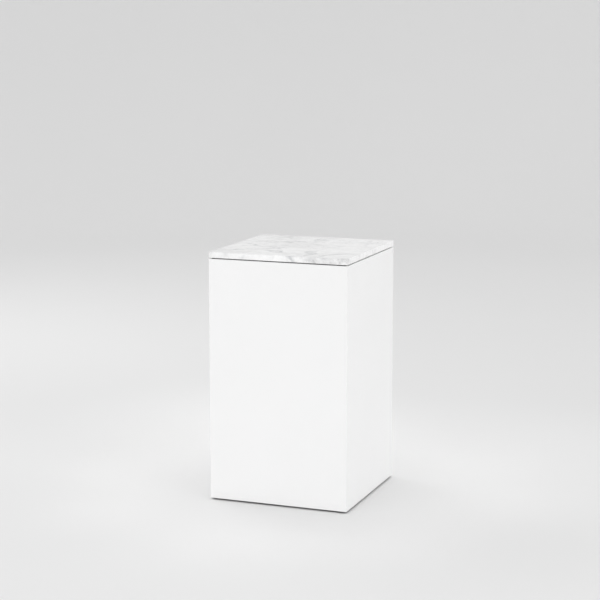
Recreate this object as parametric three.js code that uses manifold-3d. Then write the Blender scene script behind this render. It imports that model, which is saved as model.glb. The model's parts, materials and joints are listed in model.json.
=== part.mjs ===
// A square display plinth: a white lacquered box with mitred corners, standing on four
// threaded levelling feet, and a loose marble slab laid on top over a dark shadow gap.
// The box hides a softwood frame, a deck board under the slab and a base board that holds the feet.
// Millimetres, +Z up. The floor is z = 0, the plinth's centre line is the Z axis, its front faces -Y.
import * as THREE from "three";
import { mergeVertices } from "three/addons/utils/BufferGeometryUtils.js";
import Module from "manifold-3d";

const wasm = await Module();
wasm.setup();

// ---- Driving dimensions -------------------------------------------------------------------
const WIDTH = 500; // both sides of the square plan
const HEIGHT = 870; // from the floor to the slab's polished face
const SLAB_THICKNESS = 20;
const SHADOW_GAP = 3.5; // between the box and the slab
const FLOOR_GAP = 6; // between the floor and the box
const BOARD = 18; // thickness of the panels, the deck and the base board
const GLUE = 0.2; // glue line between neighbouring pieces
const RUNNING = 0.3; // clearance round whatever turns, slides or is screwed in
const PAST = 1; // how far a cutter runs past the face that it opens

const SLAB_ARRIS = 1; // chamfer round the slab's faces
const STRIP_RECESS = 8; // from the outside of the box to the dark strips
const STRIP_WIDTH = 16;

const BATTEN = 34; // square section of the upright corner battens
const BATTEN_CHAMFER = 8; // clears the glue in the mitred corner
const RAIL_THICKNESS = 30; // ledgers and base rails
const RAIL_HEIGHT = 40;
const MID_RAIL_THICKNESS = 20;
const MID_RAIL_HEIGHT = 60;

const BUMPER_RADIUS = 10; // silicone discs that the slab lies on
const BUMPER_AT = 190;
const PIN_RADIUS = 4; // steel dowels that stop the slab sliding
const PIN_AT = 150;
const PIN_BELOW_DECK = 14;
const PIN_ABOVE_DECK = 13;
const PIN_CHAMFER = 1;
const SOCKET_CLEARANCE = 1; // round a dowel in the slab
const SOCKET_SPARE_DEPTH = 1.5; // over a dowel's end

const SCREW_RADIUS = 1.9;
const SCREW_LENGTH = 38;
const SCREW_POINT = 4;
const SCREW_HEAD_RADIUS = 4;
const SCREW_HEAD_RIM = 0.6; // height of the head's straight edge
const SCREW_SUNK = 0.3; // from the board's face to the head
const SCREW_SOCKET_DEPTH = 2;

const FOOT_AT = 170; // from the centre line, both ways
const SOLE_RADIUS = 18;
const SOLE_THICKNESS = 2.5;
const PAD_RADIUS = 20;
const PAD_RIM = 2; // height of the pad's straight edge
const PAD_CROWN_RADIUS = 11;
const PAD_TOP = 8;
const PAD_CROWN_THICKNESS = 3; // what the rivet head is held under
const RIVET_RADIUS = 7;
const RIVET_ROOM_RADIUS = 8;
const COLLAR_TOP = 14; // the foot is screwed in until this meets the insert nut
const COLLAR_FLATS = 13; // across the hexagon's flats
const STEM_RADIUS = 4; // M8, drawn without its thread
const STEM_TOP = 52;
const STEM_CHAMFER = 1;
const NUT_FLANGE_RADIUS = 12;
const NUT_FLANGE_THICKNESS = 1.5;
const NUT_BARREL_RADIUS = 6;
const NUT_BARREL_LENGTH = 13;

// ---- Levels and outlines that follow from them --------------------------------------------
const HALF = WIDTH / 2;
const INSIDE = HALF - BOARD; // the panels' inner faces
const LINING = INSIDE - GLUE; // outer faces of all that is glued inside them
const SLAB_BOTTOM = HEIGHT - SLAB_THICKNESS;
const BOX_TOP = SLAB_BOTTOM - SHADOW_GAP;
const BOX_BOTTOM = FLOOR_GAP;
const DECK_BOTTOM = BOX_TOP - BOARD;
const BASE_BOTTOM = COLLAR_TOP + RUNNING + NUT_FLANGE_THICKNESS + GLUE;
const BASE_TOP = BASE_BOTTOM + BOARD;
const FRAME_BOTTOM = BASE_TOP + GLUE;
const FRAME_TOP = DECK_BOTTOM - GLUE;
const RAIL_HALF_LENGTH = LINING - BATTEN - GLUE;
const SCREW_AT = LINING - RAIL_THICKNESS / 2;

const ROUND = 24; // sides of the round pieces
const SMALL_ROUND = 16;

// ---- Finishes ------------------------------------------------------------------------------
const finish = (color, roughness, metalness = 0) =>
  new THREE.MeshStandardMaterial({ color, roughness, metalness });
const MARBLE = finish(0xe9e9e8, 0.3);
const WHITE_LACQUER = finish(0xf3f3f3, 0.45);
const BLACK_STRIP = finish(0x1c1c1d, 0.7);
const SILICONE = finish(0xd8dadb, 0.35);
const BIRCH_PLY = finish(0xd2b48a, 0.7);
const SOFTWOOD = finish(0xdcbf8f, 0.75);
const ZINC_STEEL = finish(0xb9bbbd, 0.35, 0.9);
const BLACK_NYLON = finish(0x232425, 0.5);
const RUBBER = finish(0x3c3c3c, 0.85);

// ---- Solids --------------------------------------------------------------------------------
/** A closed geometry as a manifold-3d solid, its shared corners merged. */
function solidOf(geometry) {
  const bare = geometry.index ? geometry.toNonIndexed() : geometry.clone();
  bare.deleteAttribute("normal");
  bare.deleteAttribute("uv");
  const merged = mergeVertices(bare, 1e-4);
  const mesh = new wasm.Mesh({
    numProp: 3,
    vertProperties: merged.attributes.position.array,
    triVerts: new Uint32Array(merged.index.array),
  });
  return new wasm.Manifold(mesh);
}

/** A manifold-3d solid as a geometry with flat faces. */
function geometryOf(solid) {
  const { vertProperties, triVerts, numProp } = solid.getMesh();
  const indexed = new THREE.BufferGeometry();
  indexed.setAttribute("position", new THREE.BufferAttribute(vertProperties, numProp));
  indexed.setIndex(new THREE.BufferAttribute(triVerts, 1));
  const flat = indexed.toNonIndexed();
  flat.computeVertexNormals();
  return flat;
}

/** The geometry with every cutter taken out of it. */
function cut(geometry, cutters) {
  const carved = cutters.reduce((left, cutter) => left.subtract(solidOf(cutter)), solidOf(geometry));
  return geometryOf(carved);
}

/** One geometry from several that overlap or pass through each other. */
function join(geometries) {
  const joined = geometries.map(solidOf).reduce((all, next) => all.add(next));
  return geometryOf(joined);
}

/** A straight prism: a plan outline of [x, y] corners between two heights. */
function prism(outline, bottom, top) {
  const shape = new THREE.Shape(outline.map(([x, y]) => new THREE.Vector2(x, y)));
  const geometry = new THREE.ExtrudeGeometry(shape, { depth: top - bottom, bevelEnabled: false });
  return geometry.translate(0, 0, bottom);
}

/** A box between two corners. */
function block([x0, y0, z0], [x1, y1, z1]) {
  const geometry = new THREE.BoxGeometry(x1 - x0, y1 - y0, z1 - z0);
  return geometry.translate((x0 + x1) / 2, (y0 + y1) / 2, (z0 + z1) / 2);
}

/** A round piece about a vertical axis through (x, y), from a closed profile of [radius, height]. */
function turned(profile, sides = ROUND, x = 0, y = 0) {
  const points = profile.map(([radius, height]) => new THREE.Vector2(radius, height));
  return new THREE.LatheGeometry(points, sides).rotateX(Math.PI / 2).translate(x, y, 0);
}

/** A plain cylinder about the same axis. */
function rod(radius, bottom, top, sides = ROUND, x = 0, y = 0) {
  return turned([[0, bottom], [radius, bottom], [radius, top], [0, top]], sides, x, y);
}

/** The four corners of a square at a distance from the centre line, in the order of CORNERS. */
const CORNERS = ["front_left", "front_right", "back_right", "back_left"];
const cornerPoints = (at) => [[-at, -at], [at, -at], [at, at], [-at, at]];
const SIDES = ["front", "right", "back", "left"];
const sidePoints = (at) => [[0, -at], [at, 0], [0, at], [-at, 0]];

const plinth = new THREE.Group();

/** Adds one named piece to a group. */
function add(name, geometry, material, group = plinth) {
  const mesh = new THREE.Mesh(geometry, material);
  mesh.name = name;
  group.add(mesh);
  return mesh;
}

/** Adds one piece, drawn at the front, to each side of the plinth. */
function addToSides(name, geometry, material) {
  SIDES.forEach((side, turn) => {
    const group = new THREE.Group();
    group.rotation.z = (turn * Math.PI) / 2;
    plinth.add(group);
    add(`${name}_${side}`, geometry, material, group);
  });
}

// ---- The stone slab -------------------------------------------------------------------------
function addSlab() {
  const flat = HALF - SLAB_ARRIS;
  const face = new THREE.Shape([
    new THREE.Vector2(-flat, -flat),
    new THREE.Vector2(flat, -flat),
    new THREE.Vector2(flat, flat),
    new THREE.Vector2(-flat, flat),
  ]);
  const slab = new THREE.ExtrudeGeometry(face, {
    depth: SLAB_THICKNESS - 2 * SLAB_ARRIS,
    bevelThickness: SLAB_ARRIS,
    bevelSize: SLAB_ARRIS,
    bevelSegments: 1,
  }).translate(0, 0, SLAB_BOTTOM + SLAB_ARRIS);
  const socketTop = BOX_TOP + PIN_ABOVE_DECK + SOCKET_SPARE_DEPTH;
  const sockets = pinPoints().map(([x, y]) =>
    rod(PIN_RADIUS + SOCKET_CLEARANCE, SLAB_BOTTOM - PAST, socketTop, ROUND, x, y),
  );
  add("marble_top", cut(slab, sockets), MARBLE);
}

/** The slab's two dowels stand on a diagonal. */
function pinPoints() {
  return [[-PIN_AT, -PIN_AT], [PIN_AT, PIN_AT]];
}

// ---- The deck: what the slab lies on --------------------------------------------------------
function addDeck() {
  const pinHoles = pinPoints().map(([x, y]) =>
    rod(PIN_RADIUS + GLUE, BOX_TOP - PIN_BELOW_DECK - GLUE, BOX_TOP + PAST, ROUND, x, y),
  );
  const screwHoles = sidePoints(SCREW_AT).map(([x, y]) => screwHole(BOX_TOP, -1, x, y));
  const board = block([-LINING, -LINING, DECK_BOTTOM], [LINING, LINING, BOX_TOP]);
  add("deck_board", cut(board, [...pinHoles, ...screwHoles]), BIRCH_PLY);

  pinPoints().forEach(([x, y], i) => {
    const pin = turned(
      [
        [0, BOX_TOP - PIN_BELOW_DECK],
        [PIN_RADIUS, BOX_TOP - PIN_BELOW_DECK],
        [PIN_RADIUS, BOX_TOP + PIN_ABOVE_DECK - PIN_CHAMFER],
        [PIN_RADIUS - PIN_CHAMFER, BOX_TOP + PIN_ABOVE_DECK],
        [0, BOX_TOP + PIN_ABOVE_DECK],
      ],
      ROUND,
      x,
      y,
    );
    add(`locating_pin_${["front_left", "back_right"][i]}`, pin, ZINC_STEEL);
  });
  cornerPoints(BUMPER_AT).forEach(([x, y], i) => {
    const disc = rod(BUMPER_RADIUS, BOX_TOP + GLUE / 2, SLAB_BOTTOM - GLUE / 2, ROUND, x, y);
    add(`slab_bumper_${CORNERS[i]}`, disc, SILICONE);
  });
  sidePoints(SCREW_AT).forEach(([x, y], i) =>
    add(`deck_screw_${SIDES[i]}`, screw(BOX_TOP, -1, x, y), ZINC_STEEL),
  );
}

/** The plan of a strip or panel on the front side, mitred at both ends, between two distances. */
function mitred(outer, inner) {
  const back = (GLUE / 2) * Math.SQRT2; // takes half a glue line off each mitre
  return [[-outer + back, -outer], [outer - back, -outer], [inner - back, -inner], [-inner + back, -inner]];
}

function addShadowStrips() {
  const outer = HALF - STRIP_RECESS;
  const plan = mitred(outer, outer - STRIP_WIDTH);
  addToSides("shadow_strip", prism(plan, BOX_TOP + GLUE / 2, SLAB_BOTTOM - GLUE), BLACK_STRIP);
}

// ---- The box and its frame ------------------------------------------------------------------
function addPanels() {
  addToSides("panel", prism(mitred(HALF, INSIDE), BOX_BOTTOM, BOX_TOP), WHITE_LACQUER);
}

function addBattens() {
  const near = LINING - BATTEN;
  const bevel = LINING - BATTEN_CHAMFER;
  const plan = [[near, near], [LINING, near], [LINING, bevel], [bevel, LINING], [near, LINING]];
  // The outline is the back right corner's; each quarter turn carries it to the next corner.
  ["back_right", "back_left", "front_left", "front_right"].forEach((corner, turn) => {
    const group = new THREE.Group();
    group.rotation.z = (turn * Math.PI) / 2;
    plinth.add(group);
    add(`corner_batten_${corner}`, prism(plan, FRAME_BOTTOM, FRAME_TOP), SOFTWOOD, group);
  });
}

/** A rail along the front panel between two corner battens. */
function rail(thickness, bottom, top) {
  return block(
    [-RAIL_HALF_LENGTH, -LINING, bottom],
    [RAIL_HALF_LENGTH, thickness - LINING, top],
  );
}

function addRails() {
  const ledger = rail(RAIL_THICKNESS, FRAME_TOP - RAIL_HEIGHT, FRAME_TOP);
  addToSides("deck_ledger", cut(ledger, [screwHole(BOX_TOP, -1, 0, -SCREW_AT)]), SOFTWOOD);

  const middle = (FRAME_BOTTOM + FRAME_TOP) / 2;
  const midRail = rail(MID_RAIL_THICKNESS, middle - MID_RAIL_HEIGHT / 2, middle + MID_RAIL_HEIGHT / 2);
  addToSides("mid_rail", midRail, SOFTWOOD);

  const baseRail = rail(RAIL_THICKNESS, FRAME_BOTTOM, FRAME_BOTTOM + RAIL_HEIGHT);
  addToSides("base_rail", cut(baseRail, [screwHole(BASE_BOTTOM, 1, 0, -SCREW_AT)]), SOFTWOOD);
}

function addBaseBoard() {
  const nutHoles = cornerPoints(FOOT_AT).map(([x, y]) =>
    rod(NUT_BARREL_RADIUS + GLUE, BASE_BOTTOM - PAST, BASE_TOP + PAST, ROUND, x, y),
  );
  const screwHoles = sidePoints(SCREW_AT).map(([x, y]) => screwHole(BASE_BOTTOM, 1, x, y));
  const board = block([-LINING, -LINING, BASE_BOTTOM], [LINING, LINING, BASE_TOP]);
  add("base_board", cut(board, [...nutHoles, ...screwHoles]), BIRCH_PLY);
  sidePoints(SCREW_AT).forEach(([x, y], i) =>
    add(`base_screw_${SIDES[i]}`, screw(BASE_BOTTOM, 1, x, y), ZINC_STEEL),
  );
}

// ---- Countersunk wood screws ----------------------------------------------------------------
/** Profile of a screw with its head just under a surface, driven up (1) or down (-1) into it. */
function screwProfile(surface, way, clearance) {
  const depth = (below) => surface + way * below;
  const head = SCREW_HEAD_RADIUS + clearance;
  const shank = SCREW_RADIUS + clearance;
  const mouth = clearance ? -PAST : SCREW_SUNK;
  const profile = [
    [0, depth(mouth)],
    [head, depth(mouth)],
    [head, depth(SCREW_SUNK + SCREW_HEAD_RIM)],
    [shank, depth(SCREW_SUNK + SCREW_HEAD_RIM + head - shank)],
    [shank, depth(SCREW_LENGTH - SCREW_POINT)],
    [0, depth(SCREW_LENGTH + clearance)],
  ];
  return way > 0 ? profile : profile.reverse();
}

function screwHole(surface, way, x, y) {
  return turned(screwProfile(surface, way, RUNNING), SMALL_ROUND, x, y);
}

/** A screw with a hexagonal drive socket in its head. */
function screw(surface, way, x, y) {
  const body = turned(screwProfile(surface, way, 0), SMALL_ROUND, x, y);
  const ends = [surface - way * PAST, surface + way * (SCREW_SUNK + SCREW_SOCKET_DEPTH)];
  return cut(body, [rod(SCREW_RADIUS, Math.min(...ends), Math.max(...ends), 6, x, y)]);
}

// ---- Levelling feet -------------------------------------------------------------------------
/** A flanged nut pressed up into the base board; the foot's stem runs through it. */
function insertNut(x, y) {
  const bore = STEM_RADIUS + RUNNING;
  const flangeTop = BASE_BOTTOM - GLUE;
  const bottom = flangeTop - NUT_FLANGE_THICKNESS;
  const profile = [
    [bore, bottom],
    [NUT_FLANGE_RADIUS, bottom],
    [NUT_FLANGE_RADIUS, flangeTop],
    [NUT_BARREL_RADIUS, flangeTop],
    [NUT_BARREL_RADIUS, flangeTop + NUT_BARREL_LENGTH],
    [bore, flangeTop + NUT_BARREL_LENGTH],
    [bore, bottom],
  ];
  return turned(profile, ROUND, x, y);
}

/** The dished pad that turns freely on the stem's riveted end. */
function footPad(x, y) {
  const bore = STEM_RADIUS + RUNNING;
  const bottom = SOLE_THICKNESS + GLUE / 2;
  const profile = [
    [RIVET_ROOM_RADIUS, bottom],
    [PAD_RADIUS, bottom],
    [PAD_RADIUS, bottom + PAD_RIM],
    [PAD_CROWN_RADIUS, PAD_TOP],
    [bore, PAD_TOP],
    [bore, PAD_TOP - PAD_CROWN_THICKNESS],
    [RIVET_ROOM_RADIUS, PAD_TOP - PAD_CROWN_THICKNESS],
    [RIVET_ROOM_RADIUS, bottom],
  ];
  return turned(profile, ROUND, x, y);
}

/** The stem: a rivet head inside the pad, a hexagonal collar for the spanner, and the threaded rod. */
function footStem(x, y) {
  const rivetTop = PAD_TOP - PAD_CROWN_THICKNESS - RUNNING;
  const shaft = turned(
    [
      [0, SOLE_THICKNESS + RUNNING],
      [RIVET_RADIUS, SOLE_THICKNESS + RUNNING],
      [RIVET_RADIUS, rivetTop],
      [STEM_RADIUS, rivetTop],
      [STEM_RADIUS, STEM_TOP - STEM_CHAMFER],
      [STEM_RADIUS - STEM_CHAMFER, STEM_TOP],
      [0, STEM_TOP],
    ],
    ROUND,
    x,
    y,
  );
  const cornerRadius = COLLAR_FLATS / Math.sqrt(3);
  return join([shaft, rod(cornerRadius, PAD_TOP + RUNNING, COLLAR_TOP, 6, x, y)]);
}

function addFeet() {
  cornerPoints(FOOT_AT).forEach(([x, y], i) => {
    const corner = CORNERS[i];
    add(`insert_nut_${corner}`, insertNut(x, y), ZINC_STEEL);
    add(`foot_stem_${corner}`, footStem(x, y), ZINC_STEEL);
    add(`foot_pad_${corner}`, footPad(x, y), BLACK_NYLON);
    add(`foot_sole_${corner}`, rod(SOLE_RADIUS, 0, SOLE_THICKNESS, ROUND, x, y), RUBBER);
  });
}

addSlab();
addShadowStrips();
addDeck();
addPanels();
addBattens();
addRails();
addBaseBoard();
addFeet();

export default plinth;
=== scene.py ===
"""A square white display plinth under a loose marble slab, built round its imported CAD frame.

Metres, in the frame's own axes: the floor is z = 0, the plinth's centre line is the Z axis, the front
faces -Y. Each refined piece replaces one CAD node; the boards and the softwood frame inside stay the
CAD's own, with eased arrises and a grain.
"""
import json
import math

import bmesh
import bpy
from mathutils import Matrix, Vector


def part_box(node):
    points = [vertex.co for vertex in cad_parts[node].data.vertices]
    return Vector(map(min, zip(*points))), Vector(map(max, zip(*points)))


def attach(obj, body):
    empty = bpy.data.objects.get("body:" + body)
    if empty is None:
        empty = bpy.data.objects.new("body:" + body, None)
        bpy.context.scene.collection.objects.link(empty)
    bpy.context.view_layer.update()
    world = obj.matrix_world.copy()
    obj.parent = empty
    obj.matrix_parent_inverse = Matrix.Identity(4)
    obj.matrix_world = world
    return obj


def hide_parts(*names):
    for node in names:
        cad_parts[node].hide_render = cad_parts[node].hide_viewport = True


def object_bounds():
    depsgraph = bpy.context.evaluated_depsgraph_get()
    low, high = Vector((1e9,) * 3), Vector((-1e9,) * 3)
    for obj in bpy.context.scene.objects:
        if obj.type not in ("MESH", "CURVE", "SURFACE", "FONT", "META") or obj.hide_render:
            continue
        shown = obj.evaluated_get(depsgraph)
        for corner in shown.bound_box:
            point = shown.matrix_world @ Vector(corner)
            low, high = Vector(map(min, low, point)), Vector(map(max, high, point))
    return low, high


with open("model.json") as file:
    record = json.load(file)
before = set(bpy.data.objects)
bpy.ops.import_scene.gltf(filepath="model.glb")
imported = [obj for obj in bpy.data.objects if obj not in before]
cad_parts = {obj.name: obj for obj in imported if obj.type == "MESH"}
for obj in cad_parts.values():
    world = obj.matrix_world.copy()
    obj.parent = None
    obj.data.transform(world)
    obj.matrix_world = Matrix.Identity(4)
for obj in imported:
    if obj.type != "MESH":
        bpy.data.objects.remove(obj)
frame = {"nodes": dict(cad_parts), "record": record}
cad_low, cad_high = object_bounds()

MM = 0.001
SIDES = ("front", "right", "back", "left")
CORNERS = ("front_left", "front_right", "back_right", "back_left")
PIN_CORNERS = ("front_left", "back_right")
SHARP_ANGLE = math.radians(32)  # a crease sharper than this stays an edge
MERGE_DISTANCE = 1e-7  # vertices closer than this are one vertex

# ---- The photographer's camera, light and floor ---------------------------------------------------
CAMERA_AZIMUTH = math.radians(20.76)
CAMERA_ELEVATION = math.radians(9.7)
CAMERA_DISTANCE = 6.013
CAMERA_ASIDE = -0.0115  # the camera's place beside and above the line to the plinth's centre
CAMERA_ABOVE = 0.2408
CAMERA_LENS = 102.32
SENSOR_WIDTH = 36.0
FLOOR_RADIUS = 6.5  # of the flat part, which then curves up in a cove
FLOOR_RINGS = (0.4, 1.2, 3.0)  # radii of the edges within the flat part
COVE_RADIUS = 3.0
COVE_STEPS = 16
FLOOR_SIDES = 96
SKY = 0.866  # strength of the white sky
# name, place, what it faces, width, spread in degrees, watts
SOFTBOXES = (
    ("key", (-2.6, -4.6, 1.25), (0.0, 0.0, 0.4), 2.0, 180.0, 31.5),
    ("fill", (4.6, -2.4, 2.0), (0.0, 0.0, 0.5), 2.0, 180.0, 53.0),
    ("floor_wash", (-3.4, 1.6, 3.2), (-1.8, 1.0, 0.0), 1.8, 180.0, 25.0),
    ("pool_back_right", (1.3, 1.9, 2.4), (0.45, 0.75, 0.0), 0.5, 35.0, 0.2),
    ("pool_back_left", (-1.3, 1.9, 2.4), (-0.5, 0.75, 0.0), 0.5, 35.0, 0.36),
    ("pool_left", (-1.9, 1.0, 2.4), (-0.85, 0.3, 0.0), 0.5, 35.0, 0.08),
    ("pool_front", (-0.2, -2.2, 2.0), (0.0, -0.6, 0.0), 0.5, 35.0, 0.1),
    ("arris_rim", (0.9, 3.3, 2.7), (0.0, 0.0, 0.87), 0.8, 60.0, 0.35),
)
# Small lamps, evenly spaced, that brighten a ring of floor round the base. The first one stands and
# aims like this, and the others are turned about the plinth's axis.
RING_LAMP_PLACE = (1.4, 0.0, 2.2)
RING_LAMP_AIM = (0.66, 0.0, 0.0)
RING_LAMP_WIDTH = 0.3
RING_LAMP_SPREAD = 17.0
RING_LAMP_WATTS = 0.035
RING_LAMPS = 8


# ---- Closed meshes made of rings ------------------------------------------------------------------
def bisector(before, corner, after):
    """The inward direction at a corner, and half its angle."""
    to_before = (before - corner).normalized()
    to_after = (after - corner).normalized()
    return (to_before + to_after).normalized(), to_before.angle(to_after) / 2


def inset(corners, distance):
    """A convex outline with every edge moved inwards by a distance."""
    moved = []
    for i, corner in enumerate(corners):
        inward, half = bisector(corners[i - 1], corner, corners[(i + 1) % len(corners)])
        moved.append(corner + inward * distance / math.sin(half))
    return moved


def filleted(corners, radius, steps=4):
    """A convex outline with every corner rounded to a radius."""
    rounded = []
    for i, corner in enumerate(corners):
        before, after = corners[i - 1], corners[(i + 1) % len(corners)]
        inward, half = bisector(before, corner, after)
        centre = corner + inward * radius / math.sin(half)
        spoke = corner + (before - corner).normalized() * radius / math.tan(half) - centre
        sweep = math.pi - 2 * half
        way = 1 if (after - corner).cross(before - corner) > 0 else -1
        for k in range(steps + 1):
            rounded.append(centre + Matrix.Rotation(way * sweep * k / steps, 2) @ spoke)
    return rounded


def arris(radius, steps=3):
    """(inset, height) of the points of a rounded arris, from the flat face to the side."""
    turns = [math.pi / 2 * k / steps for k in range(steps + 1)]
    return [(radius * (1 - math.sin(t)), radius * (1 - math.cos(t))) for t in turns]


def square(half):
    """The corners of a square about the centre line, anticlockwise from the front left."""
    return [Vector(p) for p in ((-half, -half), (half, -half), (half, half), (-half, half))]


class Solid:
    """A closed mesh that grows ring by ring."""

    def __init__(self):
        self.mesh = bmesh.new()

    def ring(self, outline, height):
        return [self.mesh.verts.new((x, y, height)) for x, y in outline]

    def circle(self, radius, height, centre=(0, 0), sides=32):
        """A ring about a vertical axis. radius may be a function of the angle."""
        x, y = centre
        points = []
        for k in range(sides):
            a = math.tau * k / sides
            r = radius(a) if callable(radius) else radius
            points.append((x + r * math.cos(a), y + r * math.sin(a)))
        return self.ring(points, height)

    def skin(self, rings):
        """Quads from each ring to the next."""
        for low, high in zip(rings, rings[1:]):
            for i in range(len(low)):
                j = (i + 1) % len(low)
                self.mesh.faces.new((low[i], low[j], high[j], high[i]))

    def fill(self, *rings):
        """A flat face bounded by the first ring, with the others as holes in it."""
        if len(rings) == 1:
            self.mesh.faces.new(rings[0])
            return
        edges = []
        for ring in rings:
            for i, vert in enumerate(ring):
                pair = (vert, ring[(i + 1) % len(ring)])
                edges.append(self.mesh.edges.get(pair) or self.mesh.edges.new(pair))
        bmesh.ops.triangle_fill(self.mesh, edges=edges, use_beauty=True)

    def wall(self, profile, centre=(0, 0), sides=32):
        """The round wall of a profile of (radius, height). Gives its rings, from first to last."""
        rings = [self.circle(radius, height, centre, sides) for radius, height in profile]
        self.skin(rings)
        return rings

    def thread(self, root, crest, bottom, top, pitch, centre=(0, 0), sides=24):
        """A right-hand screw thread's wall, which starts and ends in a circle of the root's radius."""
        x, y = centre
        # the corners of the thread's section: the share of a pitch that each lies up it, and its radius
        section = ((0.0, root), (0.22, root), (0.57, crest), (0.65, crest))
        turns = math.ceil((top - bottom) / pitch) + 4
        columns = []
        for k in range(sides):
            a = math.tau * k / sides
            column = []
            for j in range(turns * len(section)):
                share, radius = section[j % len(section)]
                height = bottom + (j // len(section) + share + k / sides - 2) * pitch
                if not bottom < height < top:
                    height, radius = min(max(height, bottom), top), root
                point = (x + radius * math.cos(a), y + radius * math.sin(a), height)
                column.append(self.mesh.verts.new(point))
            columns.append(column)
        columns.append(columns[0][len(section):])
        for left, right in zip(columns, columns[1:]):
            for j in range(min(len(left), len(right)) - 1):
                self.mesh.faces.new((left[j], right[j], right[j + 1], left[j + 1]))


def slab_of(outline_corners, corner_radius, bottom, top, easing):
    """A prism with rounded corners and arrises: its solid, lowest ring and highest ring."""
    solid = Solid()
    rings = []
    for deep, up in arris(easing):
        outline = filleted(inset(outline_corners, deep), corner_radius - deep)
        rings.append(solid.ring(outline, bottom + up))
    for deep, up in reversed(arris(easing)):
        outline = filleted(inset(outline_corners, deep), corner_radius - deep)
        rings.append(solid.ring(outline, top - up))
    solid.skin(rings)
    return solid, rings[0], rings[-1]


def turned(profile, centre=(0, 0), sides=32):
    """A closed round solid from a profile of (radius, height), with a flat face at each end."""
    solid = Solid()
    rings = solid.wall(profile, centre, sides)
    solid.fill(rings[0])
    solid.fill(rings[-1])
    return solid


def finish_mesh(obj):
    """Smooth shading that keeps flat faces flat and real corners sharp."""
    obj.data.shade_smooth()
    obj.data.set_sharp_from_angle(angle=SHARP_ANGLE)
    normals = obj.modifiers.new("flat_faces_rule", "WEIGHTED_NORMAL")
    normals.keep_sharp = True
    normals.weight = 100


def piece(name, solid, node, slot, *materials):
    """Turns a solid into a piece that replaces a CAD node and rides on that node's body."""
    mesh = solid.mesh
    bmesh.ops.remove_doubles(mesh, verts=mesh.verts, dist=MERGE_DISTANCE)
    bmesh.ops.recalc_face_normals(mesh, faces=mesh.faces)
    data = bpy.data.meshes.new(name)
    mesh.to_mesh(data)
    mesh.free()
    obj = bpy.data.objects.new(name, data)
    bpy.context.scene.collection.objects.link(obj)
    for material in materials:
        data.materials.append(material)
    finish_mesh(obj)
    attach(obj, body_with(node))
    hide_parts(node)
    return obj


def body_with(node):
    """The CAD body that a node belongs to."""
    bodies = frame["record"]["behaviour"]["bodies"]
    return next(body for body, nodes in bodies.items() if node in nodes)


def middle(node):
    """A round node's axis as (x, y), its lowest and highest points' heights, and its widest radius."""
    low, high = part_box(node)
    return ((low + high) / 2).xy, low.z, high.z, (high.x - low.x) / 2


# ---- Materials ------------------------------------------------------------------------------------
MARBLE_CUT = (-4.115, -1.935, -0.442)  # where in the block of marble the slab was cut
MARBLE_BED = 20.0  # the way that the veins run, in degrees from the front
GROWTH_RING = 5.0 * MM  # between the softwood's rings


class Finish:
    """One material: a Principled shader, and the nodes that feed it, in object coordinates."""

    def __init__(self, name, **sockets):
        self.material = bpy.data.materials.new(name)
        self.material.use_nodes = True
        self.tree = self.material.node_tree
        self.shader = self.tree.nodes["Principled BSDF"]
        self.place = self.node("ShaderNodeTexCoord").outputs["Object"]
        for socket, value in sockets.items():
            self.feed(socket.replace("_", " "), value)

    def node(self, kind, inputs=(), **settings):
        made = self.tree.nodes.new(kind)
        for setting, value in settings.items():
            setattr(made, setting, value)
        for socket, value in dict(inputs).items():
            self.connect(value, made.inputs[socket])
        return made

    def connect(self, value, socket):
        if isinstance(value, bpy.types.NodeSocket):
            self.tree.links.new(value, socket)
        else:
            socket.default_value = value

    def feed(self, socket, value):
        self.connect(value, self.shader.inputs[socket])

    def stretched(self, scale, turn=0, source=None):
        """The coordinates turned about Z by degrees, then stretched along each axis."""
        inputs = {
            "Vector": source or self.place,
            "Rotation": (0.0, 0.0, math.radians(turn)),
            "Scale": [1 / s for s in scale],
        }
        return self.node("ShaderNodeMapping", inputs, vector_type="TEXTURE").outputs["Vector"]

    def warped(self, source, clouds, amount):
        """The coordinates pushed about by soft noise, by up to an amount in metres."""
        drift = self.node("ShaderNodeTexNoise", {"Vector": clouds, "Scale": 1.0, "Detail": 2.0})
        inputs = {0: drift.outputs["Color"], 1: [amount] * 3, 2: source}
        return self.node("ShaderNodeVectorMath", inputs, operation="MULTIPLY_ADD").outputs["Vector"]

    def noise(self, scale, detail=2, source=None, rough=0.5, distortion=0.0):
        """A cloud pattern about 0.5, with features of about 1 / scale metres."""
        inputs = {
            "Vector": source or self.place,
            "Scale": scale,
            "Detail": detail,
            "Roughness": rough,
            "Distortion": distortion,
        }
        return self.node("ShaderNodeTexNoise", inputs).outputs["Fac"]

    def sums(self, operation, a, b=0.0, extra=0.0):
        """The result of a maths operation on up to three values."""
        return self.node("ShaderNodeMath", {0: a, 1: b, 2: extra}, operation=operation).outputs["Value"]

    def spread(self, value, low, high, to_low=0.0, to_high=1.0, smooth=False):
        """A value's range mapped to another range, and held at its ends."""
        inputs = {
            "Value": value,
            "From Min": low,
            "From Max": high,
            "To Min": to_low,
            "To Max": to_high,
        }
        kind = "SMOOTHSTEP" if smooth else "LINEAR"
        return self.node("ShaderNodeMapRange", inputs, interpolation_type=kind).outputs["Result"]

    def blend(self, amount, a, b):
        """Colour a where amount is 0, b where it is 1."""
        made = self.node("ShaderNodeMix", data_type="RGBA")
        self.connect(amount, made.inputs["Factor"])
        self.connect(a, made.inputs[6])
        self.connect(b, made.inputs[7])
        return made.outputs[2]

    def bump(self, height, depth, strength=1.0):
        """Relief of a depth in metres."""
        inputs = {"Height": height, "Distance": depth, "Strength": strength}
        self.feed("Normal", self.node("ShaderNodeBump", inputs).outputs["Normal"])


def grey(level):
    """A neutral colour from its 0 to 255 screen tone."""
    return shade(level, level, level)


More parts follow.
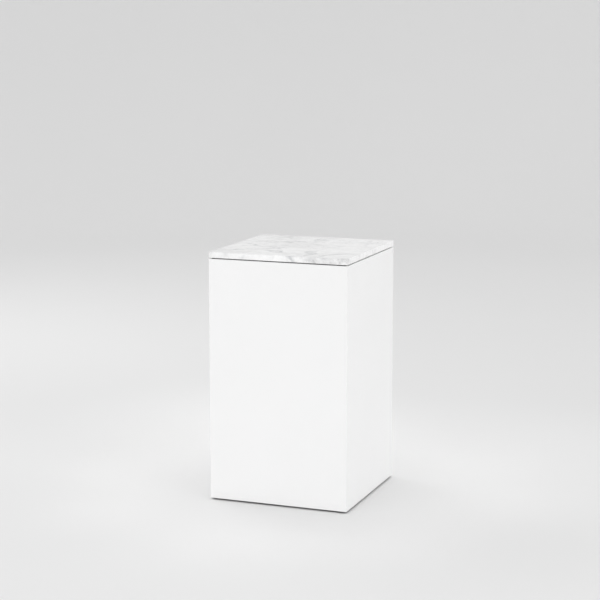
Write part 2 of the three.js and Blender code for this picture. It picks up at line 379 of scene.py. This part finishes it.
def shade(*tones):
    """A linear colour from its 0 to 255 screen tones."""
    linear = [t / 255 / 12.92 if t < 11 else ((t / 255 + 0.055) / 1.055) ** 2.4 for t in tones]
    return (*linear, 1.0)


def marble():
    """Polished white marble, sawn underneath, with grey clouds and feathery veins along its bed."""
    made = Finish("polished_marble")
    block = made.node("ShaderNodeVectorMath", {0: made.place, 1: MARBLE_CUT}).outputs["Vector"]
    pushed = made.warped(block, made.stretched((4.0, 4.0, 4.0), source=block), 0.12)
    bed = made.stretched((1.5, 2.1, 1.5), MARBLE_BED, pushed)
    busy = made.spread(made.noise(3.0, 2, block), 0.40, 0.60, 0.25, 1.0, smooth=True)
    clouds = made.spread(made.noise(2.4, 6, bed, 0.62), 0.45, 0.74, smooth=True)
    streaks = made.spread(made.noise(10.0, 6, bed, 0.68), 0.47, 0.76, smooth=True)
    flecks = made.spread(made.noise(36.0, 4, bed, 0.6), 0.47, 0.76)
    colour = made.blend(made.sums("MULTIPLY", clouds, 0.8), grey(254), grey(224))
    colour = made.blend(made.sums("MULTIPLY", streaks, busy), colour, grey(190))
    speckle = made.sums("MULTIPLY", made.sums("MULTIPLY", flecks, busy), 0.6)
    colour = made.blend(speckle, colour, grey(196))
    for scale, width, amount in ((2.0, 0.02, 0.5), (5.0, 0.022, 0.3)):
        ridge = made.sums("ABSOLUTE", made.sums("SUBTRACT", made.noise(scale, 6, bed, 0.5), 0.5))
        vein = made.spread(ridge, 0.0, width, 1.0, 0.0, smooth=True)
        broken = made.spread(made.noise(2 * scale, 3, block), 0.42, 0.64, 0.0, amount, smooth=True)
        colour = made.blend(made.sums("MULTIPLY", vein, broken), colour, shade(160, 163, 168))
    grain = made.noise(900, 2)
    colour = made.blend(made.spread(grain, 0.3, 0.7, 0.0, 0.03), colour, grey(214))
    made.feed("Base Color", colour)
    normal = made.node("ShaderNodeNewGeometry").outputs["Normal"]
    facing = made.node("ShaderNodeSeparateXYZ", {"Vector": normal}).outputs["Z"]
    sawn = made.spread(facing, -0.9, -0.6, 1.0, 0.0)
    polish = made.spread(made.noise(30, 3), 0.3, 0.7, 0.14, 0.22)
    made.feed("Roughness", made.sums("MULTIPLY_ADD", sawn, 0.5, extra=polish))
    saw_marks = made.noise(60, 3, made.stretched((0.1, 6.0, 1.0)))
    made.bump(made.sums("MULTIPLY", sawn, saw_marks), 0.15 * MM)
    return made.material


def lacquer():
    """White satin lacquer sprayed on board."""
    made = Finish("white_satin_lacquer")
    cloud = made.noise(4.0, 3)
    made.feed("Base Color", made.blend(cloud, grey(247), grey(244)))
    made.feed("Roughness", made.spread(made.noise(9.0, 3), 0.3, 0.7, 0.36, 0.44))
    made.bump(made.noise(420, 2), 0.02 * MM)
    return made.material


def edge_sealer_and_painted_shade():
    """Charcoal sealer, brushed on the panels' bottom edges. Its dark colour is partly painted shade: it
    deepens the shade of the floor gap under the panels.
    """
    made = Finish("charcoal_sealer_and_painted_shade")
    brushed = made.noise(300, 3, made.stretched((0.15, 0.15, 1.0)), 0.6)
    # dark greys: partly the sealer's own colour, partly painted shade for the floor gap under the
    # panels
    made.feed("Base Color", made.blend(made.spread(brushed, 0.35, 0.65), grey(62), grey(84)))
    made.feed("Roughness", made.spread(brushed, 0.3, 0.7, 0.6, 0.8))
    made.bump(brushed, 0.03 * MM)
    return made.material


def fibreboard():
    """Bare MDF: even brown felt of fine fibres."""
    made = Finish("bare_fibreboard", Roughness=0.85)
    fibres = made.noise(700, 4, made.stretched((1.0, 1.0, 0.35)), 0.7)
    patches = made.noise(14, 3)
    colour = made.blend(made.spread(fibres, 0.3, 0.7), shade(171, 140, 104), shade(196, 167, 130))
    colour = made.blend(made.spread(patches, 0.3, 0.7, 0, 0.3), colour, shade(160, 130, 96))
    made.feed("Base Color", colour)
    made.bump(fibres, 0.06 * MM)
    return made.material


def softwood(name, along):
    """Planed spruce with its growth rings and grain along one axis (0, 1 or 2)."""
    made = Finish(name)
    slow, fine = [6.0, 6.0, 6.0], [1.0, 1.0, 1.0]
    slow[along], fine[along] = 0.8, 0.02
    inputs = {
        "Vector": made.warped(made.place, made.stretched(slow), 0.05),
        "Scale": math.tau / 20 / GROWTH_RING,  # at scale 1 the wave repeats every tau / 20 metres
        "Distortion": 0.6,
        "Detail Scale": 2.0,
    }
    rings = made.node(
        "ShaderNodeTexWave",
        inputs,
        wave_type="RINGS",
        rings_direction="XYZ"[along],
        wave_profile="SAW",
    ).outputs["Fac"]
    late = made.spread(rings, 0.35, 1.0, smooth=True)
    fibres = made.noise(700, 3, made.stretched(fine), 0.6)
    tone = made.noise(2, 2, made.stretched(slow))
    colour = made.blend(made.sums("MULTIPLY", late, 0.75), shade(231, 206, 163), shade(197, 154, 102))
    colour = made.blend(made.spread(fibres, 0.4, 0.75, 0, 0.3), colour, shade(178, 140, 94))
    colour = made.blend(made.spread(tone, 0.4, 0.7, 0, 0.35), colour, shade(216, 180, 128))
    made.feed("Base Color", colour)
    made.feed("Roughness", made.spread(late, 0.0, 1.0, 0.66, 0.52))
    made.bump(fibres, 0.08 * MM)
    return made.material


def plywood(name, bottom, thickness, plies=13):
    """Birch plywood: a quiet face grain, and on the edges its plies in turn light and dark."""
    made = Finish(name, Roughness=0.6)
    grain = made.noise(60, 4, made.stretched((0.12, 2.0, 1.0)), 0.6, 0.6)
    figure = made.noise(7, 3, made.stretched((0.35, 2.2, 1.0)), 0.55, 1.2)
    face = made.blend(made.spread(grain, 0.35, 0.7), shade(222, 196, 157), shade(205, 173, 130))
    face = made.blend(made.spread(figure, 0.45, 0.7, 0, 0.45), face, shade(190, 156, 112))
    height = made.node("ShaderNodeSeparateXYZ", {"Vector": made.place}).outputs["Z"]
    layer = made.sums("DIVIDE", made.sums("SUBTRACT", height, bottom), thickness / plies)
    odd = made.sums("MODULO", made.sums("FLOOR", layer), 2.0)
    fibres = made.noise(900, 2, made.stretched((1.0, 1.0, 0.2)))
    edge = made.blend(odd, shade(216, 186, 142), shade(160, 117, 72))
    edge = made.blend(made.spread(fibres, 0.35, 0.7, 0, 0.5), edge, shade(132, 95, 60))
    normal = made.node("ShaderNodeNewGeometry").outputs["Normal"]
    facing = made.node("ShaderNodeSeparateXYZ", {"Vector": normal}).outputs["Z"]
    on_face = made.spread(made.sums("ABSOLUTE", facing), 0.6, 0.8)
    made.feed("Base Color", made.blend(on_face, edge, face))
    made.bump(grain, 0.05 * MM)
    return made.material


def zinc():
    """Bright zinc plating: bluish, with soft mottling and fine drawing marks."""
    made = Finish("zinc_plating", Metallic=1.0)
    mottle = made.noise(260, 4, rough=0.6)
    made.feed("Base Color", made.blend(mottle, shade(206, 209, 214), shade(184, 186, 190)))
    made.feed("Roughness", made.spread(mottle, 0.3, 0.7, 0.26, 0.42))
    made.bump(made.noise(1500, 2, made.stretched((1.0, 1.0, 0.2))), 0.01 * MM)
    return made.material


def black_strip():
    """Matt black strip with a fine pebbled skin."""
    made = Finish("matt_black_strip")
    skin = made.noise(1200, 2)
    made.feed("Base Color", made.blend(skin, grey(26), grey(36)))
    made.feed("Roughness", made.spread(skin, 0.3, 0.7, 0.62, 0.78))
    made.bump(skin, 0.03 * MM)
    return made.material


def nylon():
    """Black moulded nylon with a light spark-eroded texture."""
    made = Finish("black_nylon")
    skin = made.noise(1600, 3)
    made.feed("Base Color", made.blend(skin, grey(30), grey(40)))
    made.feed("Roughness", made.spread(skin, 0.3, 0.7, 0.42, 0.58))
    made.bump(skin, 0.03 * MM)
    return made.material


def rubber():
    """Dark grey rubber, dulled by dust."""
    made = Finish("rubber_sole", Roughness=0.85)
    dust = made.noise(180, 5, rough=0.65)
    made.feed("Base Color", made.blend(made.spread(dust, 0.45, 0.75), grey(54), grey(84)))
    made.bump(made.noise(900, 3), 0.05 * MM)
    return made.material


def silicone():
    """Milky silicone with a slight haze."""
    made = Finish("clear_silicone", IOR=1.41)
    made.feed("Subsurface Weight", 0.4)
    made.feed("Subsurface Scale", 1.5 * MM)
    haze = made.noise(90, 2)
    made.feed("Base Color", made.blend(haze, grey(232), grey(218)))
    made.feed("Roughness", made.spread(haze, 0.3, 0.7, 0.2, 0.3))
    return made.material


MARBLE = marble()
LACQUER = lacquer()
FIBREBOARD = fibreboard()
EDGE_SEALER_AND_PAINTED_SHADE = edge_sealer_and_painted_shade()
ZINC = zinc()
BLACK_STRIP = black_strip()
NYLON = nylon()
RUBBER = rubber()
SILICONE = silicone()


# ---- The marble slab ------------------------------------------------------------------------------
SLAB_CORNER = 1.6 * MM  # radius of the upright corners
SLAB_ARRIS = 1.1 * MM
SOCKET_CLEARANCE = 1.0 * MM  # round a pin
SOCKET_SPARE = 1.5 * MM  # over a pin's end
SOCKET_CHAMFER = 0.6 * MM


def make_slab():
    """The slab, with a blind socket in its underside for each pin."""
    low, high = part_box("marble_top")
    solid, under, top = slab_of(square(high.x), SLAB_CORNER, low.z, high.z, SLAB_ARRIS)
    sockets = []
    for corner in PIN_CORNERS:
        centre, _, pin_top, pin_radius = middle(f"locating_pin_{corner}")
        radius = pin_radius + SOCKET_CLEARANCE
        profile = [(radius + SOCKET_CHAMFER, low.z), (radius, low.z + SOCKET_CHAMFER)]
        profile.append((radius, pin_top + SOCKET_SPARE))
        rings = solid.wall(profile, centre)
        solid.fill(rings[-1])
        sockets.append(rings[0])
    solid.fill(under, *sockets)
    solid.fill(top)
    piece("veined_marble_slab", solid, "marble_top", "marble", MARBLE)


# ---- Panels and strips: bars mitred at both ends --------------------------------------------------
PANEL_CORNER = 0.8 * MM  # radius of the box's upright edges
PANEL_ARRIS = 0.8 * MM
PANEL_SEAM = 0.07 * MM  # width of the hairline where two panels meet
STRIP_CORNER = 0.6 * MM
STRIP_ARRIS = 0.3 * MM
STRIP_SEAM = 0.05 * MM
INNER_FACE_AREA = 0.1  # square metres: a panel's broad faces are larger, its edges are smaller


def mitred_outline(outer, inner, corner_radius, deep, seam, steps=4):
    """A bar along the front, seen from above, with mitred ends and square inner corners. Each outer
    corner carries half of a rounded edge. deep moves the outer face inwards."""
    centre = outer - corner_radius
    radius = corner_radius - deep
    back = seam / math.sqrt(2)
    right = [(inner - back, -inner)]
    for k in range(steps + 1):
        a = math.radians(45) * (steps - k) / steps
        aside = back if k == 0 else 0.0
        right.append((centre + radius * math.sin(a) - aside, -centre - radius * math.cos(a)))
    left = [(-x, y) for x, y in reversed(right)]
    return right + left


def mitred_bar(low, high, inner, corner_radius, easing, seam, turn):
    """A bar in the front's box, turned about the plinth's axis by a number of quarter turns."""
    outer = -low.y
    around = Matrix.Rotation(math.pi / 2 * turn, 2)
    solid = Solid()
    rings = []
    lower = [(deep, low.z + up) for deep, up in arris(easing)]
    upper = [(deep, high.z - up) for deep, up in reversed(arris(easing))]
    for deep, height in lower + upper:
        outline = mitred_outline(outer, inner, corner_radius, deep, seam)
        rings.append(solid.ring([around @ Vector(p) for p in outline], height))
    solid.skin(rings)
    solid.fill(rings[0])
    solid.fill(rings[-1])
    return solid


def make_panels():
    """Lacquered outside and on top, bare on the inner faces, and sealed dark on the bottom edges, where
    the dark sealer also paints shade into the floor gap.
    """
    low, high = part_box("panel_front")
    coats = (LACQUER, FIBREBOARD, EDGE_SEALER_AND_PAINTED_SHADE)
    for turn, side in enumerate(SIDES):
        solid = mitred_bar(low, high, -high.y, PANEL_CORNER, PANEL_ARRIS, PANEL_SEAM, turn)
        panel = piece(f"{side}_side_panel", solid, f"panel_{side}", "white_lacquer", *coats)
        for face in panel.data.polygons:
            if face.area > INNER_FACE_AREA and face.normal.dot(face.center) < 0:
                face.material_index = coats.index(FIBREBOARD)
            # the bottom faces get the charcoal sealer, whose dark colour is also painted shade in the
            # floor gap
            if face.normal.z < -0.9:
                face.material_index = coats.index(EDGE_SEALER_AND_PAINTED_SHADE)


def make_strips():
    """The black lining of the gap under the slab."""
    low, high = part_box("shadow_strip_front")
    for turn, side in enumerate(SIDES):
        solid = mitred_bar(low, high, -high.y, STRIP_CORNER, STRIP_ARRIS, STRIP_SEAM, turn)
        piece(f"{side}_gap_strip", solid, f"shadow_strip_{side}", "black_strip", BLACK_STRIP)


make_slab()
make_panels()
make_strips()


# ---- Inside: boards and softwood keep the CAD's shape ---------------------------------------------
SAME_POINT = 0.01 * MM  # corners closer than this are one corner
SOFTWOOD_ARRIS = 1.2 * MM
BOARD_ARRIS = 0.5 * MM
EASED_ANGLE = math.radians(40)  # a crease sharper than this is eased


def ease(node, width):
    """Rounds a CAD node's arrises, without touching its mesh."""
    obj = frame["nodes"][node]
    obj.modifiers.new("joined_corners", "WELD").merge_threshold = SAME_POINT
    bevel = obj.modifiers.new("eased_arrises", "BEVEL")
    bevel.width = width
    bevel.segments = 2
    bevel.limit_method = "ANGLE"
    bevel.angle_limit = EASED_ANGLE
    bevel.use_clamp_overlap = True


def dress(node, material):
    """Puts a material on a CAD node."""
    obj = frame["nodes"][node]
    for slot in obj.material_slots:
        slot.material = material


def dress_inside():
    """Softwood whose grain runs along each bar, and plywood whose plies fill each board."""
    along_x, along_y, along_z = [softwood(f"softwood_along_{a}", i) for i, a in enumerate("xyz")]
    for side, grain in zip(SIDES, (along_x, along_y, along_x, along_y)):
        for kind in ("deck_ledger", "mid_rail", "base_rail"):
            ease(f"{kind}_{side}", SOFTWOOD_ARRIS)
            dress(f"{kind}_{side}", grain)
    for corner in CORNERS:
        ease(f"corner_batten_{corner}", SOFTWOOD_ARRIS)
        dress(f"corner_batten_{corner}", along_z)
    for node in ("deck_board", "base_board"):
        low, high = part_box(node)
        ease(node, BOARD_ARRIS)
        dress(node, plywood(f"birch_plywood_{node}", low.z, high.z - low.z))


dress_inside()


# ---- Pins, bumpers and screws ---------------------------------------------------------------------
PIN_CHAMFER = 0.8 * MM
PIN_TIP = 1.2 * MM  # radius of the upper end's rounded arris
GROOVES = 3
GROOVE_SPACING = 3.0 * MM
GROOVE_WIDTH = 1.2 * MM
GROOVE_DEPTH = 0.3 * MM
BUMPER_STEPS = 8
BUMPER_BULGE = 0.9 * MM  # how far the middle stands out past the ends
BUMPER_EDGE = 0.5 * MM  # the flat faces' step in at both ends
BUMPER_SIDES = 48
SCREW_CREST = 1.9 * MM
SCREW_PITCH = 1.9 * MM
SCREW_RIM = 0.4 * MM
SCREW_EDGE = 0.1 * MM  # the eased edge of the head's face
SCREW_NECK = 7.0 * MM  # from the head's face to the start of the thread
SCREW_POINT = 5.0 * MM
SCREW_TIP = 0.12 * MM
POINT_SHARE = 0.72  # of the root's radius, halfway down the point
ROOT_SHARE = 0.66  # of the crest's radius
RECESS_DEPTH = 1.9 * MM
RECESS_FLOOR = 0.34  # of the head's radius
RECESS_MOUTH = 0.38
LOBE_SHARE = 0.14  # of the recess's radius
SCREW_SIDES = 24


def make_pins():
    """Dowels with glue grooves at the lower end and a rounded upper end."""
    for corner in PIN_CORNERS:
        centre, bottom, top, radius = middle(f"locating_pin_{corner}")
        profile = [(radius - PIN_CHAMFER, bottom), (radius, bottom + PIN_CHAMFER)]
        for k in range(GROOVES):
            start = bottom + (k + 1) * GROOVE_SPACING
            profile += [
                (radius, start),
                (radius - GROOVE_DEPTH, start + GROOVE_DEPTH),
                (radius - GROOVE_DEPTH, start + GROOVE_WIDTH - GROOVE_DEPTH),
                (radius, start + GROOVE_WIDTH),
            ]
        profile += [(radius - deep, top - up) for deep, up in reversed(arris(PIN_TIP, 4))]
        solid = turned(profile, centre)
        piece(f"dowel_pin_{corner}", solid, f"locating_pin_{corner}", "zinc_steel", ZINC)


def make_bumpers():
    """Discs with bulging sides."""
    for corner in CORNERS:
        centre, bottom, top, radius = middle(f"slab_bumper_{corner}")
        end = radius - BUMPER_BULGE - BUMPER_EDGE
        profile = [(end, bottom)]
        for k in range(1, BUMPER_STEPS):
            across = 2 * k / BUMPER_STEPS - 1
            height = (bottom + top) / 2 + across * (top - bottom) / 2
            profile.append((radius - BUMPER_BULGE * abs(across) ** 3, height))
        profile.append((end, top))
        solid = turned(profile, centre, BUMPER_SIDES)
        name = f"silicone_bumper_{corner}"
        piece(name, solid, f"slab_bumper_{corner}", "clear_silicone", SILICONE)


def lobes(radius):
    """The six-lobed outline of a screw's drive socket."""
    return lambda a: radius * (1 + LOBE_SHARE * math.cos(6 * a))


def wood_screw(length, head, crest):
    """A countersunk wood screw along +Z, its head's face at the origin."""
    solid = Solid()
    root = crest * ROOT_SHARE
    thread_end = length - SCREW_POINT
    profile = [
        (lobes(head * RECESS_FLOOR), RECESS_DEPTH),
        (lobes(head * RECESS_MOUTH), 0.0),
        (head - SCREW_EDGE, 0.0),
        (head, SCREW_EDGE),
        (head, SCREW_RIM),
        (root, SCREW_RIM + head - root),
        (root, SCREW_NECK),
    ]
    rings = solid.wall(profile, sides=SCREW_SIDES)
    solid.fill(rings[0])
    solid.thread(root, crest, SCREW_NECK, thread_end, SCREW_PITCH, sides=SCREW_SIDES)
    tip = [(root, thread_end), (root * POINT_SHARE, length - SCREW_POINT / 2), (SCREW_TIP, length)]
    rings = solid.wall(tip, sides=SCREW_SIDES)
    solid.fill(rings[-1])
    return solid


def make_screws():
    """Deck screws with the head on top, base screws with the head underneath."""
    for kind, head_on_top in (("deck", True), ("base", False)):
        for side in SIDES:
            node = f"{kind}_screw_{side}"
            (x, y), bottom, top, radius = middle(node)
            solid = wood_screw(top - bottom, radius, SCREW_CREST)
            turn = Matrix.Rotation(math.pi if head_on_top else 0.0, 4, "X")
            place = Matrix.Translation((x, y, top if head_on_top else bottom))
            bmesh.ops.transform(solid.mesh, matrix=place @ turn, verts=solid.mesh.verts)
            piece(f"countersunk_{kind}_screw_{side}", solid, node, "zinc_steel", ZINC)


# ---- Levelling feet -------------------------------------------------------------------------------
RIVET_ARRIS = 0.5 * MM
STEM_NECK = 3.8 * MM  # radius between the rivet and the collar
STEM_ROOT = 3.3 * MM
STEM_CREST = 3.95 * MM
STEM_PITCH = 1.25 * MM
STEM_TIP = 2.6 * MM
STEM_TIP_LENGTH = 1.0 * MM
STEM_SIDES = 24
COLLAR_GAP = 0.3 * MM  # to the pad and the nut, and from the rivet head to the pad's crown
COLLAR_FLATS = 13 * MM
COLLAR_CHAMFER = ((6.2 * MM, 0.0), (6.9 * MM, 0.4 * MM), (7.6 * MM, 0.8 * MM))  # radius, height
RUN_OUT = 0.8 * MM  # plain length beside a thread

PAD_ROOM = 8 * MM  # radius of the hollow that the rivet turns in
PAD_BORE = 4.3 * MM
PAD_CROWN = 11 * MM  # radius of the flat top
PAD_CROWN_THICKNESS = 3 * MM
PAD_RIM = 2.1 * MM  # height of the fluted rim
PAD_RIM_INSET = 0.9 * MM
PAD_CHAMFER = 0.4 * MM
PAD_CROWN_CHAMFER = 0.3 * MM
DOME_RISE = 3.0 * MM
DOME_BULGE = 0.12  # of the rise
DOME_STEPS = 7
FLUTES = 24
FLUTE_DEPTH = 0.5 * MM
PAD_SIDES = 96

SOLE_GROOVES = (3 * MM, 8 * MM, 13 * MM)  # inner radius of each
SOLE_GROOVE_WIDTH = 2.0 * MM
SOLE_GROOVE_DEPTH = 0.6 * MM
SOLE_GROOVE_BANK = 0.4 * MM
SOLE_LOWER_ARRIS = 0.5 * MM
SOLE_UPPER_ARRIS = 0.3 * MM

NUT_BORE = 4.3 * MM
NUT_ROOT = 5.2 * MM
NUT_CREST = 6.0 * MM
NUT_PITCH = 2.6 * MM
NUT_FLANGE_THICKNESS = 1.5 * MM
NUT_FLANGE_ARRIS = 0.3 * MM
NUT_CHAMFER = 0.4 * MM
NUT_BORE_CHAMFER = (0.2 * MM, 0.5 * MM)  # outwards and down, at the top of the bore
ROUND_SIDES = 48


def hexagon(across_flats, limit=math.inf):
    """A hexagon with corners towards the front and back, cut to a circle where limit is smaller."""
    def radius(a):
        from_corner = (a - math.pi / 2) % (math.pi / 3)
        return min(across_flats / 2 / math.cos(from_corner - math.pi / 6), limit)
    return radius


def make_stem(corner):
    """A rivet head held in the pad, a hexagonal collar above it, and an M8 thread up to the end."""
    centre, bottom, top, rivet = middle(f"foot_stem_{corner}")
    pad_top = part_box(f"foot_pad_{corner}")[1].z
    nut_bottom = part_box(f"insert_nut_{corner}")[0].z
    collar_bottom, collar_top = pad_top + COLLAR_GAP, nut_bottom - COLLAR_GAP
    rivet_top = pad_top - PAD_CROWN_THICKNESS - COLLAR_GAP
    thread_bottom, thread_top = collar_top + RUN_OUT, top - STEM_TIP_LENGTH
    solid = Solid()
    profile = [(rivet - deep, bottom + up) for deep, up in arris(RIVET_ARRIS)]
    profile += [(rivet - deep, rivet_top - up) for deep, up in reversed(arris(RIVET_ARRIS))]
    profile += [(STEM_NECK, rivet_top), (STEM_NECK, collar_bottom)]
    for limit, up in COLLAR_CHAMFER:
        profile.append((hexagon(COLLAR_FLATS, limit), collar_bottom + up))
    for limit, up in reversed(COLLAR_CHAMFER):
        profile.append((hexagon(COLLAR_FLATS, limit), collar_top - up))
    profile += [(STEM_ROOT, collar_top), (STEM_ROOT, thread_bottom)]
    rings = solid.wall(profile, centre, STEM_SIDES)
    solid.fill(rings[0])
    solid.thread(STEM_ROOT, STEM_CREST, thread_bottom, thread_top, STEM_PITCH, centre, STEM_SIDES)
    rings = solid.wall([(STEM_ROOT, thread_top), (STEM_TIP, top)], centre, STEM_SIDES)
    solid.fill(rings[-1])
    piece(f"threaded_stem_{corner}", solid, f"foot_stem_{corner}", "zinc_steel", ZINC)


def make_pad(corner):
    """A domed pad with a fluted rim, hollow underneath where the rivet turns."""
    centre, bottom, top, radius = middle(f"foot_pad_{corner}")
    inner = radius - PAD_RIM_INSET
    rim_top = bottom + PAD_RIM
    under_crown = top - PAD_CROWN_THICKNESS

    def fluted(a):
        return radius - FLUTE_DEPTH / 2 * (1 + math.cos(FLUTES * a))

    profile = [(PAD_ROOM, bottom), (inner, bottom), (fluted, bottom + PAD_CHAMFER)]
    profile += [(fluted, rim_top - PAD_CHAMFER), (inner, rim_top)]
    for k in range(1, DOME_STEPS):
        share = k / DOME_STEPS
        rise = share + DOME_BULGE * math.sin(math.pi * share)
        profile.append((inner - share * (inner - PAD_CROWN), rim_top + rise * DOME_RISE))
    profile += [(PAD_CROWN, top - PAD_CROWN_CHAMFER), (PAD_CROWN - PAD_CHAMFER, top)]
    profile += [(PAD_BORE + PAD_CHAMFER, top), (PAD_BORE, top - PAD_CHAMFER)]
    profile += [(PAD_BORE, under_crown), (PAD_ROOM, under_crown)]
    solid = Solid()
    rings = solid.wall(profile, centre, PAD_SIDES)
    solid.skin([rings[-1], rings[0]])
    piece(f"swivel_pad_{corner}", solid, f"foot_pad_{corner}", "black_nylon", NYLON)


def make_sole(corner):
    """A disc with round grooves underneath."""
    centre, bottom, top, radius = middle(f"foot_sole_{corner}")
    profile = []
    for inner in SOLE_GROOVES:
        outer = inner + SOLE_GROOVE_WIDTH
        profile += [(inner, bottom), (inner + SOLE_GROOVE_BANK, bottom + SOLE_GROOVE_DEPTH)]
        profile += [(outer, bottom + SOLE_GROOVE_DEPTH), (outer + SOLE_GROOVE_BANK, bottom)]
    profile += [(radius - deep, bottom + up) for deep, up in arris(SOLE_LOWER_ARRIS)]
    profile += [(radius - deep, top - up) for deep, up in reversed(arris(SOLE_UPPER_ARRIS))]
    solid = turned(profile, centre, ROUND_SIDES)
    piece(f"rubber_sole_{corner}", solid, f"foot_sole_{corner}", "rubber_sole", RUBBER)


def make_nut(corner):
    """A flanged insert nut: a bored barrel with a coarse thread that bites into the board."""
    centre, bottom, top, flange = middle(f"insert_nut_{corner}")
    flange_top = bottom + NUT_FLANGE_THICKNESS
    bore_out, bore_down = NUT_BORE_CHAMFER
    thread_bottom, thread_top = flange_top + RUN_OUT, top - RUN_OUT
    solid = Solid()
    lower = [(NUT_BORE, top - bore_down), (NUT_BORE, bottom + NUT_CHAMFER)]
    lower.append((NUT_BORE + NUT_CHAMFER, bottom))
    lower += [(flange - deep, bottom + up) for deep, up in arris(NUT_CHAMFER)]
    lower += [(flange - deep, flange_top - up) for deep, up in reversed(arris(NUT_FLANGE_ARRIS))]
    lower += [(NUT_ROOT, flange_top), (NUT_ROOT, thread_bottom)]
    first = solid.wall(lower, centre, ROUND_SIDES)
    solid.thread(NUT_ROOT, NUT_CREST, thread_bottom, thread_top, NUT_PITCH, centre, ROUND_SIDES)
    upper = [(NUT_ROOT, thread_top), (NUT_ROOT, top - NUT_CHAMFER), (NUT_ROOT - NUT_CHAMFER, top)]
    upper.append((NUT_BORE + bore_out, top))
    last = solid.wall(upper, centre, ROUND_SIDES)
    solid.skin([last[-1], first[0]])
    piece(f"flanged_insert_{corner}", solid, f"insert_nut_{corner}", "zinc_steel", ZINC)


make_pins()
make_bumpers()
make_screws()
for corner in CORNERS:
    make_stem(corner)
    make_pad(corner)
    make_sole(corner)
    make_nut(corner)


# ---- Floor, light and camera ----------------------------------------------------------------------
def make_floor():
    """A pale studio floor that curves up all round, well outside the lights."""
    solid = Solid()
    profile = [(radius, 0.0) for radius in (*FLOOR_RINGS, FLOOR_RADIUS)]
    for k in range(1, COVE_STEPS + 1):
        a = math.pi / 2 * k / COVE_STEPS
        profile.append((FLOOR_RADIUS + COVE_RADIUS * math.sin(a), COVE_RADIUS * (1 - math.cos(a))))
    rings = solid.wall(profile, sides=FLOOR_SIDES)
    solid.fill(rings[0])
    bmesh.ops.recalc_face_normals(solid.mesh, faces=solid.mesh.faces)
    data = bpy.data.meshes.new("studio_floor")
    solid.mesh.to_mesh(data)
    solid.mesh.free()
    data.shade_smooth()
    floor = bpy.data.objects.new("studio_floor", data)
    bpy.context.scene.collection.objects.link(floor)
    made = Finish("floor_paint", Roughness=0.7)
    made.feed("Specular IOR Level", 0.2)
    made.feed("Base Color", made.blend(made.noise(0.6, 2), grey(232), grey(230)))
    data.materials.append(made.material)


def softbox(name, place, aim, width, spread, watts):
    """A square lamp that faces a point. spread is in degrees."""
    lamp = bpy.data.lights.new(name, "AREA")
    lamp.shape = "SQUARE"
    lamp.size = width
    lamp.spread = math.radians(spread)
    lamp.energy = watts
    box = bpy.data.objects.new(name, lamp)
    bpy.context.scene.collection.objects.link(box)
    box.location = place
    box.rotation_euler = (Vector(aim) - Vector(place)).to_track_quat("-Z", "Y").to_euler()


def make_light():
    """An even white sky, softboxes on the plinth and the floor, and the ring of small lamps."""
    world = bpy.data.worlds.new("studio")
    bpy.context.scene.world = world
    world.use_nodes = True
    sky = world.node_tree.nodes["Background"]
    sky.inputs["Color"].default_value = (1.0, 1.0, 1.0, 1.0)
    sky.inputs["Strength"].default_value = SKY
    for row in SOFTBOXES:
        softbox(*row)
    for k in range(RING_LAMPS):
        around = Matrix.Rotation(math.tau * k / RING_LAMPS, 3, "Z")
        place = around @ Vector(RING_LAMP_PLACE)
        aim = around @ Vector(RING_LAMP_AIM)
        softbox(f"ring_lamp_{k}", place, aim, RING_LAMP_WIDTH, RING_LAMP_SPREAD, RING_LAMP_WATTS)


def make_camera():
    """The photograph's view: the camera turns about the plinth's centre, then moves aside and up."""
    scene = bpy.context.scene
    data = bpy.data.cameras.new("photo_camera")
    data.lens = CAMERA_LENS
    data.sensor_width = SENSOR_WIDTH
    data.clip_end = 100.0
    camera = bpy.data.objects.new("photo_camera", data)
    scene.collection.objects.link(camera)
    right = Vector((math.cos(CAMERA_AZIMUTH), math.sin(CAMERA_AZIMUTH), 0.0))
    level = Vector((right.y, -right.x, 0.0))
    back = level * math.cos(CAMERA_ELEVATION) + Vector((0.0, 0.0, math.sin(CAMERA_ELEVATION)))
    up = back.cross(right)
    centre = (cad_low + cad_high) / 2
    camera.location = centre + back * CAMERA_DISTANCE + right * CAMERA_ASIDE + up * CAMERA_ABOVE
    camera.rotation_euler = (-back).to_track_quat("-Z", "Y").to_euler()
    scene.camera = camera
    scene.view_settings.view_transform = "Standard"
    scene.view_settings.look = "None"


make_floor()
make_light()
make_camera()
